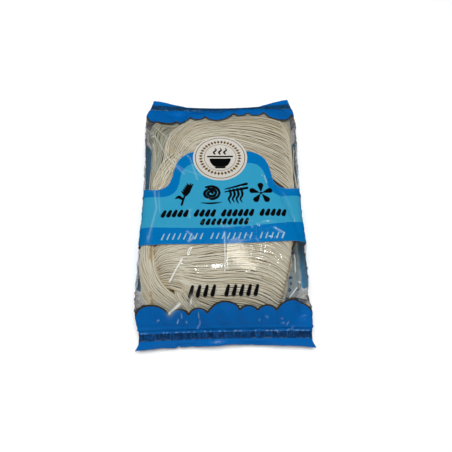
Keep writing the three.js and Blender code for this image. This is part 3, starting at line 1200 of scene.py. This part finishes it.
@dataclass
class Core:
    """The closed inner body that the strands lie on; its dark finish is painted shade between them."""

    shape: PackShape
    depth: float = 4.6
    end: float = 112.0
    half_width: float = 66.0
    middle_half: float = 62.0
    columns: int = 120
    rows: int = 110

    def build(self, material: bpy.types.Material) -> bpy.types.Object:
        """Builds the core as a tube closed along a line at both ends.

        Args:
            material: Its finish.

        Returns:
            The piece.
        """
        piece, u, v = add_sheet("noodle_core", self.columns, self.rows)
        dx, dy = np.cos(u * 2 * math.pi), np.sin(u * 2 * math.pi)
        large = np.maximum(np.abs(dx), np.abs(dy))
        place = np.interp(v, [0, 1], [-self.end, self.end])
        place_corners(piece, self.surface(dx / large, dy / large, place))
        select(piece)
        bpy.ops.object.mode_set(mode="EDIT")
        bpy.ops.mesh.select_all(action="SELECT")
        bpy.ops.mesh.remove_doubles(threshold=0.00002)
        bpy.ops.mesh.normals_make_consistent(inside=False)
        bpy.ops.object.mode_set(mode="OBJECT")
        bpy.ops.object.shade_smooth()
        piece.data.materials.append(material)
        return piece

    def surface(self, dx: Array, dy: Array, place: Array) -> Array:
        """Points of the core's surface.

        Args:
            dx: Across part of the direction round a square.
            dy: Its upward part.
            place: Place along the pack.

        Returns:
            The points, in a last axis of three.
        """
        outer, end = self.shape.point(dx, dy, place), np.abs(place)
        middle = outer.copy()
        middle[..., 2] = (self.shape.size(place, Size.FRONT) + self.shape.size(place, Size.BACK)) / 2
        middle[..., 0] = np.clip(outer[..., 0], -self.middle_half, self.middle_half) * 0.9
        inward = middle - outer
        reach = np.linalg.norm(inward, axis=-1) + 1e-9
        depth = np.minimum(self.depth, 0.45 * reach) + 3 * ramp(96, 112, end)
        points = outer + inward * (np.minimum(depth, 0.8 * reach) / reach)[..., None]
        right = self.half_width - 9.5 * ramp(-42, -54, place) - 7 * ramp(-64, -88, place)
        points[..., 0] = np.clip(points[..., 0], -self.half_width, right)
        flat = ramp(self.end - 6, self.end, end)
        points[..., 2] = points[..., 2] * (1 - flat) + middle[..., 2] * flat
        return points


@dataclass(frozen=True)
class Bundle:
    """A bundle of strands that run side by side between an outer and an inner line.

    A corner of a line holds the position across, the place along, how far every strand dives there,
    and how deep the strands may pile up there.
    """

    outer: tuple
    inner: tuple
    count: int
    layers: int = 2
    depth: float = 1.15
    layer_step: float = 0.85
    wobble: float = 0.7
    step: float = 4.0
    loose_ends: float = 5.0
    uneven: float = 0.12
    # How much painted shade darkens the tone of a whole deep-lying bundle.
    painted_shade: float = 0.0
    # How much blue-grey painted shadow covers the whole bundle.
    blue_shade: float = 0.0
    dips: float = 0.45
    on_core: bool = False


@dataclass
class Noodles:
    """Strands of noodle, laid under the film or on the core bundle by bundle.

    A swing of the strands holds its wavelength and its share of their sway.
    """

    shape: PackShape
    core: Core
    radius: float = 0.66
    sides: int = 6
    side_gap: float = 4.0
    # Painted shade: how far the tone drops on sunken strands and towards the upper end.
    upper_painted_shade: float = 0.06
    sunk_painted_shade: float = 0.25
    tone: tuple[float, float] = (0.7, 0.1)
    depth_spread: float = 0.3
    deepest: float = 0.42
    swings: tuple = ((120, 0.35), (53, 0.3), (24, 0.35), (15, 0.3))
    seed: int = 7
    random: np.random.Generator = field(init=False)

    def __post_init__(self) -> None:
        """Starts the random draws."""
        self.random = np.random.default_rng(self.seed)

    def build(self, name: str, bundles: list[Bundle], material: bpy.types.Material) -> bpy.types.Object:
        """Builds one piece from bundles.

        Args:
            name: Name of the piece.
            bundles: The bundles in it.
            material: Its finish.

        Returns:
            The piece.
        """
        rings, faces, start = [], [], 0
        values = {"tone": [], "blue_shade": [], "flank_shade": []}
        # Share of painted flank shade round a strand: none on top, most on its lower sides.
        across = 1 - np.maximum(0, np.sin(self.angles())) / math.sin(math.pi / 3)
        for bundle, layer, k in ((b, i, k) for b in bundles for i in range(b.layers) for k in range(b.count)):
            points, normals, sunk = self.strand(bundle, layer, k)
            ring, quads = self.tube(points, normals)
            rings.append(ring)
            faces.append(quads + start)
            start += len(ring)
            y = ring[:, 1]
            # Each strand's random tone, less painted shade on sunken strands, towards the upper end and on
            # deep bundles.
            tone = self.random.normal(*self.tone) - self.sunk_painted_shade * np.repeat(sunk, self.sides)
            tone = tone - self.upper_painted_shade * ramp(-10, 80, y) - bundle.painted_shade
            values["tone"].append(np.clip(tone, 0, 1))
            # Blue-grey painted shadow near both printed ends, or the bundle's own share of it.
            values["blue_shade"].append(np.maximum(bundle.blue_shade, 0.4 * (ramp(80, 93, y) + ramp(-92, -102, y))))
            # Painted flank shade, weaker where a strand lies on a steep wall.
            values["flank_shade"].append(np.outer(ramp(0.3, 0.8, normals[:, 2]), across).ravel())
        mesh = bpy.data.meshes.new(name)
        corners, faces = np.vstack(rings) * MM, np.vstack(faces)
        mesh.vertices.add(len(corners))
        mesh.vertices.foreach_set("co", corners.ravel())
        mesh.loops.add(faces.size)
        mesh.loops.foreach_set("vertex_index", faces.ravel().astype(np.int32))
        mesh.polygons.add(len(faces))
        mesh.polygons.foreach_set("loop_start", np.arange(0, faces.size, 4, dtype=np.int32))
        mesh.update(calc_edges=True)
        mesh.validate()
        add_values(mesh, {key: np.concatenate(parts) for key, parts in values.items()})
        mesh.materials.append(material)
        piece = bpy.data.objects.new(name, mesh)
        bpy.context.scene.collection.objects.link(piece)
        select(piece)
        bpy.ops.object.shade_smooth()
        return piece

    def angles(self) -> Array:
        """The angles of a strand's sides."""
        return np.arange(self.sides) * 2 * math.pi / self.sides

    def strand(self, bundle: Bundle, layer: int, k: int) -> tuple[Array, Array, Array]:
        """The middle line of one strand.

        Args:
            bundle: The bundle it is in.
            layer: Its layer, 0 at the top.
            k: Its number across the bundle.

        Returns:
            Its points, the surface normals there, and how many strands deep it lies.
        """
        draw = self.random
        share = np.clip((k + 0.5 + 0.5 * (layer % 2) + draw.normal(0, bundle.uneven)) / bundle.count, 0, 1)
        outer, inner = (np.array([(*p, 0.0, 0.0)[:4] for p in line]) for line in (bundle.outer, bundle.inner))
        pitch = np.hypot(*(outer - inner)[:, :2].T) / bundle.count
        rail = np.column_stack([outer * (1 - share) + inner * share, pitch])
        length = np.linalg.norm(np.diff(rail[:, :2], axis=0), axis=1).sum()
        count = max(6, int(length / bundle.step) + 1)
        line, run = smooth_line(rail, count), np.linspace(0, length, count)
        trim = draw.uniform(0, bundle.loose_ends, 2)
        keep = (run >= trim[0]) & (run <= length - trim[1])
        run, (w, place, dive, pile, gap) = run[keep], line[keep].T
        sway = [sum(draw.normal(0, share_of) * np.sin(run * 2 * math.pi / wave + draw.uniform(0, 6.3))
                    for wave, share_of in self.swings) for _ in range(3)]
        w, place = w + bundle.wobble * sway[0], place + bundle.wobble * sway[1]
        depth = bundle.depth + layer * bundle.layer_step + draw.uniform(0, self.depth_spread)
        depth = depth + bundle.dips * np.abs(sway[2]) + dive
        tight = ramp(0.8, 0.66, gap)
        depth = depth + (k % 3) * tight + (k % 2) * ramp(1.15, 0.95, gap) * (1 - tight)
        sunk = np.clip((depth - bundle.depth - 0.35) / 1.1, 0, 2)
        depth = depth + pile * draw.uniform(0, 1) * (layer > 0)
        if bundle.on_core:
            return *self.shape.inside(w, place, depth, self.core.surface), sunk
        over = np.abs(w) - self.shape.reach(place)
        full_left = 0.9 * ramp(-10, -45, place) * ramp(-84, -66, place) + 0.8 * ramp(60, 74, place)
        room = self.side_gap * np.where(w < 0, 1 - full_left, 1)
        depth = depth + room * ramp(-5, 8, over) * ramp(8, -2, over - 2 * self.shape.wall_length)
        limit = self.deepest * (self.shape.size(place, Size.FRONT) - self.shape.size(place, Size.BACK))
        return *self.shape.inside(w, place, np.minimum(depth, limit)), sunk

    def tube(self, points: Array, normals: Array) -> tuple[Array, Array]:
        """A round tube along a line.

        Args:
            points: The line.
            normals: A direction across it at each point.

        Returns:
            The tube's corners, and its faces as rows of four.
        """
        n, angle = self.sides, self.angles()[None, :, None]
        along = unit(np.gradient(points, axis=0))
        side = unit(np.cross(along, normals))
        up = np.cross(side, along)
        ring = points[:, None] + self.radius * (np.cos(angle) * side[:, None] + np.sin(angle) * up[:, None])
        rows, k = np.arange(len(points) - 1)[:, None] * n, np.arange(n)[None]
        quads = np.stack([rows + k, rows + (k + 1) % n, rows + n + (k + 1) % n, rows + n + k], axis=-1)
        last = (len(points) - 1) * n
        caps = [[0, 3, 2, 1], [0, 5, 4, 3], [last, last + 1, last + 2, last + 3],
                [last, last + 3, last + 4, last + 5]]
        return ring.reshape(-1, 3), np.vstack([quads.reshape(-1, 4), caps])


def skein_bundles() -> dict[str, list[Bundle]]:
    """The bundles of the skein, as they lie under the front film, at the sides and below.

    Returns:
        The bundles of each piece, by its name.
    """
    sweep = Bundle(
        outer=((-34, -107), (-45, -105), (-56, -102), (-67, -96), (-75, -85, 0, 3), (-80, -70, 0, 5),
               (-82, -55, 0, 6), (-81, -42, 0, 6), (-77, -20, 0, 6), (-67, 2, 0, 4), (-57, 20, 0, 2),
               (-54, 40), (-52, 62), (-43, 88), (-14, 104), (25, 108), (60, 104), (82, 92), (96, 70),
               (106, 36)),
        inner=((-24, -103, 1), (-31, -98, 0.5), (-36, -92), (-43.3, -85.8), (-51, -76.6, 0, 3),
               (-55.8, -64, 0, 5), (-57.6, -50, 0, 6), (-55, -38, 0, 6), (-46, -8, 0, 4), (-41, 6, 0, 4),
               (-36, 15, 0, 2), (-31, 26, 0, 1), (-22, 36), (-8, 42), (16, 38), (36, 24), (52, 9), (66, -4),
               (80, -18), (94, -36)),
        count=42, layers=3, wobble=0.4, step=4.2, uneven=0.25, dips=0.35)
    hank = Bundle(
        outer=((-63, -67, 3.5), (-62, -59, 1), (-57, -51), (-49, -45), (-36, -40), (-18, -35), (0, -31),
               (20, -29), (38, -31), (50, -37), (58, -44.5), (61.5, -49, 3), (63, -51.5, 8)),
        inner=((-53, -82, 3.5), (-48, -83, 1), (-40.5, -85.5), (-31, -90), (-22, -97), (-9, -103), (0, -105),
               (12, -106), (24, -109), (33, -112), (38, -114), (43, -115), (45, -115.5)),
        count=47, layers=3, wobble=0.42, step=2.9, loose_ends=1.0)
    tail = Bundle(
        outer=((-41.5, -82, 3), (-39.5, -88), (-37, -95), (-32, -102), (-25, -110, 1)),
        inner=((-35, -80, 3), (-31, -86.5), (-24, -93), (-15, -100), (-6, -109, 1)),
        count=9, depth=0.8, wobble=0.4, loose_ends=1.0)
    # The deep upper-left layer, darkened by painted shade and tinted by a blue-grey painted shadow.
    corner = Bundle(outer=((-72, -6), (-74, 30), (-76, 58), (-77, 80), (-62, 96), (-20, 107)),
                    inner=((-58, -8), (-55, 28), (-49, 54), (-42, 70), (-26, 84), (0, 92)),
                    count=24, depth=2.2, wobble=0.9, painted_shade=0.13, blue_shade=0.5, uneven=0.3)
    stray = Bundle(outer=((-66, 0), (-65, 9), (-60, 18), (-53, 32), (-38, 48)),
                   inner=((-56, -4), (-52, 6), (-47, 18), (-40, 30), (-30, 42)),
                   count=8, layers=1, depth=0.7, wobble=1.6, loose_ends=9)
    wisps = Bundle(outer=((84, 66), (88, 46), (84, 22), (74, 0)),
                   inner=((80, 60), (84, 36), (78, 14), (70, -6)),
                   count=3, layers=1, depth=-2.6, wobble=1.2)
    right = Bundle(outer=((60, 88), (71, 64), (73, 30), (71, -6), (66, -44)),
                   inner=((56, 84), (66, 60), (69, 28), (68, -8), (62, -44)),
                   count=6, layers=1, depth=0.7, wobble=1.5, loose_ends=30)
    fold = Bundle(outer=((40, -49), (56, -50), (75, -52), (100, -54), (130, -55), (160, -52)),
                  inner=((30, -110), (48, -111), (72, -110), (98, -108), (130, -104), (160, -100)),
                  count=46, depth=-0.8, wobble=0.8, step=3.0, on_core=True)
    walls = [Bundle(outer=((68 * k, low), (70 * k, 0), (74 * k, 60), (84 * k, 92)),
                    inner=((112 * k, low - 6), (116 * k, 0), (118 * k, 60), (106 * k, 100)),
                    count=36, depth=-0.8, wobble=1.0, step=6.0, on_core=True)
             for k, low in ((1, -44), (-1, -98))]
    below = [Bundle(outer=((106 * k, -92), (112 * k, -30), (114 * k, 40), (106 * k, 94)),
                    inner=((168 * k, -104), (172 * k, -30), (174 * k, 40), (168 * k, 104)),
                    count=54, layers=1, depth=0.9, wobble=1.0, step=6.0) for k in (1, -1)]
    return {"noodle_sweep": [sweep], "noodle_hank": [hank, tail],
            "noodle_under_layer": [corner, stray, right, wisps, fold, *walls, *below]}


@dataclass(frozen=True)
class Lamp:
    """A rectangular lamp that faces the pack, in metres and watts.

    Its height leans to the left by a number of degrees, and glossy says whether it shows in
    reflections.
    """

    name: str
    spot: tuple[float, float, float]
    size: tuple[float, float]
    power: float
    colour: tuple[float, float, float] = (1, 1, 1)
    glossy: bool = False
    lean: float = 0.0

    def place(self) -> None:
        """Adds the lamp to the scene."""
        data = bpy.data.lights.new(self.name, "AREA")
        data.shape, data.size, data.size_y = "RECTANGLE", *self.size
        data.energy, data.color = self.power, self.colour
        lamp = bpy.data.objects.new(self.name, data)
        bpy.context.scene.collection.objects.link(lamp)
        lamp.visible_glossy = self.glossy
        back, lean = (Vector(self.spot) - Vector((0, 0, 0.02))).normalized(), math.radians(self.lean)
        side = Vector((-math.sin(lean), math.cos(lean), 0)).cross(back).normalized()
        turn = Matrix((side, back.cross(side), back)).transposed().to_4x4()
        lamp.matrix_world = Matrix.Translation(self.spot) @ turn


@dataclass(frozen=True)
class Studio:
    """Camera, floor and lights."""

    tilt: float = 66.0
    yaw: float = -3.0
    roll: float = -1.847
    distance: float = 294.256
    aim: tuple[float, float, float] = (3.235, -25.945, 22.0)
    lens: float = 25.782
    sky: tuple[float, float, float, float] = (0.9, 0.95, 1.0, 1)
    sky_strength: float = 0.16
    lamps: tuple[Lamp, ...] = (
        Lamp("over", (0.0, 0.2, 1.2), (1.1, 0.8), 15.2),
        Lamp("left", (-1.0, -0.1, 0.8), (0.9, 0.9), 1.6),
        Lamp("right", (1.0, -0.1, 0.8), (0.9, 0.9), 0.9),
        Lamp("front", (0.0, -1.1, 0.9), (1.2, 0.7), 2.6),
        Lamp("glint", (-0.0095, -0.055, 0.9), (0.045, 0.04), 0.12, (0.9, 0.96, 1.0), glossy=True),
        Lamp("window", (0.0765, 0.046, 0.9), (0.064, 0.31), 0.3, (1.0, 0.9, 0.76), glossy=True, lean=10),
        Lamp("spark", (0.21, 0.08, 0.9), (0.04, 0.04), 0.25, glossy=True),
    )

    def build(self) -> None:
        """Builds everything that isn't the pack."""
        self.camera()
        self.floor()
        self.surroundings()
        for lamp in self.lamps:
            lamp.place()

    def camera(self) -> None:
        """Sets the camera at the fitted view."""
        tilt, yaw, roll = (math.radians(a) for a in (self.tilt, self.yaw, self.roll))
        back = Vector((math.sin(yaw) * math.cos(tilt), -math.cos(yaw) * math.cos(tilt), math.sin(tilt)))
        right = Vector((math.cos(yaw), math.sin(yaw), 0))
        up = back.cross(right)
        x = math.cos(roll) * right - math.sin(roll) * up
        y = math.sin(roll) * right + math.cos(roll) * up
        data = bpy.data.cameras.new("view")
        data.lens, data.sensor_width, data.clip_start = self.lens, 36.0, 0.01
        camera = bpy.data.objects.new("view", data)
        bpy.context.scene.collection.objects.link(camera)
        spot = (back * self.distance + Vector(self.aim)) * MM
        camera.matrix_world = Matrix.Translation(spot) @ Matrix((x, y, back)).transposed().to_4x4()
        bpy.context.scene.camera = camera

    @staticmethod
    def floor() -> None:
        """Lays a plain pale floor."""
        select()
        bpy.ops.mesh.primitive_plane_add(size=4.0, location=(0, 0, -0.0002))
        floor = bpy.context.object
        floor.name = "floor"
        material = bpy.data.materials.new("pale_floor")
        material.use_nodes = True
        build = NodeBuilder(material.node_tree)
        build.fill(material.node_tree.nodes["Principled BSDF"],
                   {"Base Color": (0.93, 0.93, 0.93, 1), "Roughness": 0.9, "Specular IOR Level": 0.1})
        floor.data.materials.append(material)
        floor.visible_glossy = False

    def surroundings(self) -> None:
        """Sets the view and the dim sky, which doesn't show in reflections."""
        scene = bpy.context.scene
        scene.view_settings.view_transform = "Standard"
        scene.world = bpy.data.worlds.new("studio")
        scene.world.use_nodes = True
        background = scene.world.node_tree.nodes["Background"]
        NodeBuilder(scene.world.node_tree).fill(background, (self.sky, self.sky_strength))
        scene.world.cycles_visibility.glossy = False


def hand_over(piece: bpy.types.Object) -> None:
    """Ties a piece to the pack's body, and lets it stand for the solid.

    Args:
        piece: The finished piece.
    """
    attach(piece, BODY)
    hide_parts(NODE)
    LOG.info("%s: %d faces", piece.name, len(piece.data.polygons))


def main() -> None:
    """Builds the pack, its contents and the studio, and notes the sizes."""
    logging.basicConfig(level=logging.INFO, format="%(name)s: %(message)s")
    shape, plan, cloudiness = PackShape(), FilmPrint(), cloudiness_group()
    Studio().build()
    noodle = NoodleFinish(cloudiness).make()
    core = Core(shape)
    maker = Noodles(shape, core)
    for name, bundles in skein_bundles().items():
        hand_over(maker.build(name, bundles, noodle))
    hand_over(core.build(ShadeFinish(cloudiness).make()))
    hand_over(FilmBag(shape, plan, FilmFinish(cloudiness, plan)).build())


if __name__ == "__main__":
    main()
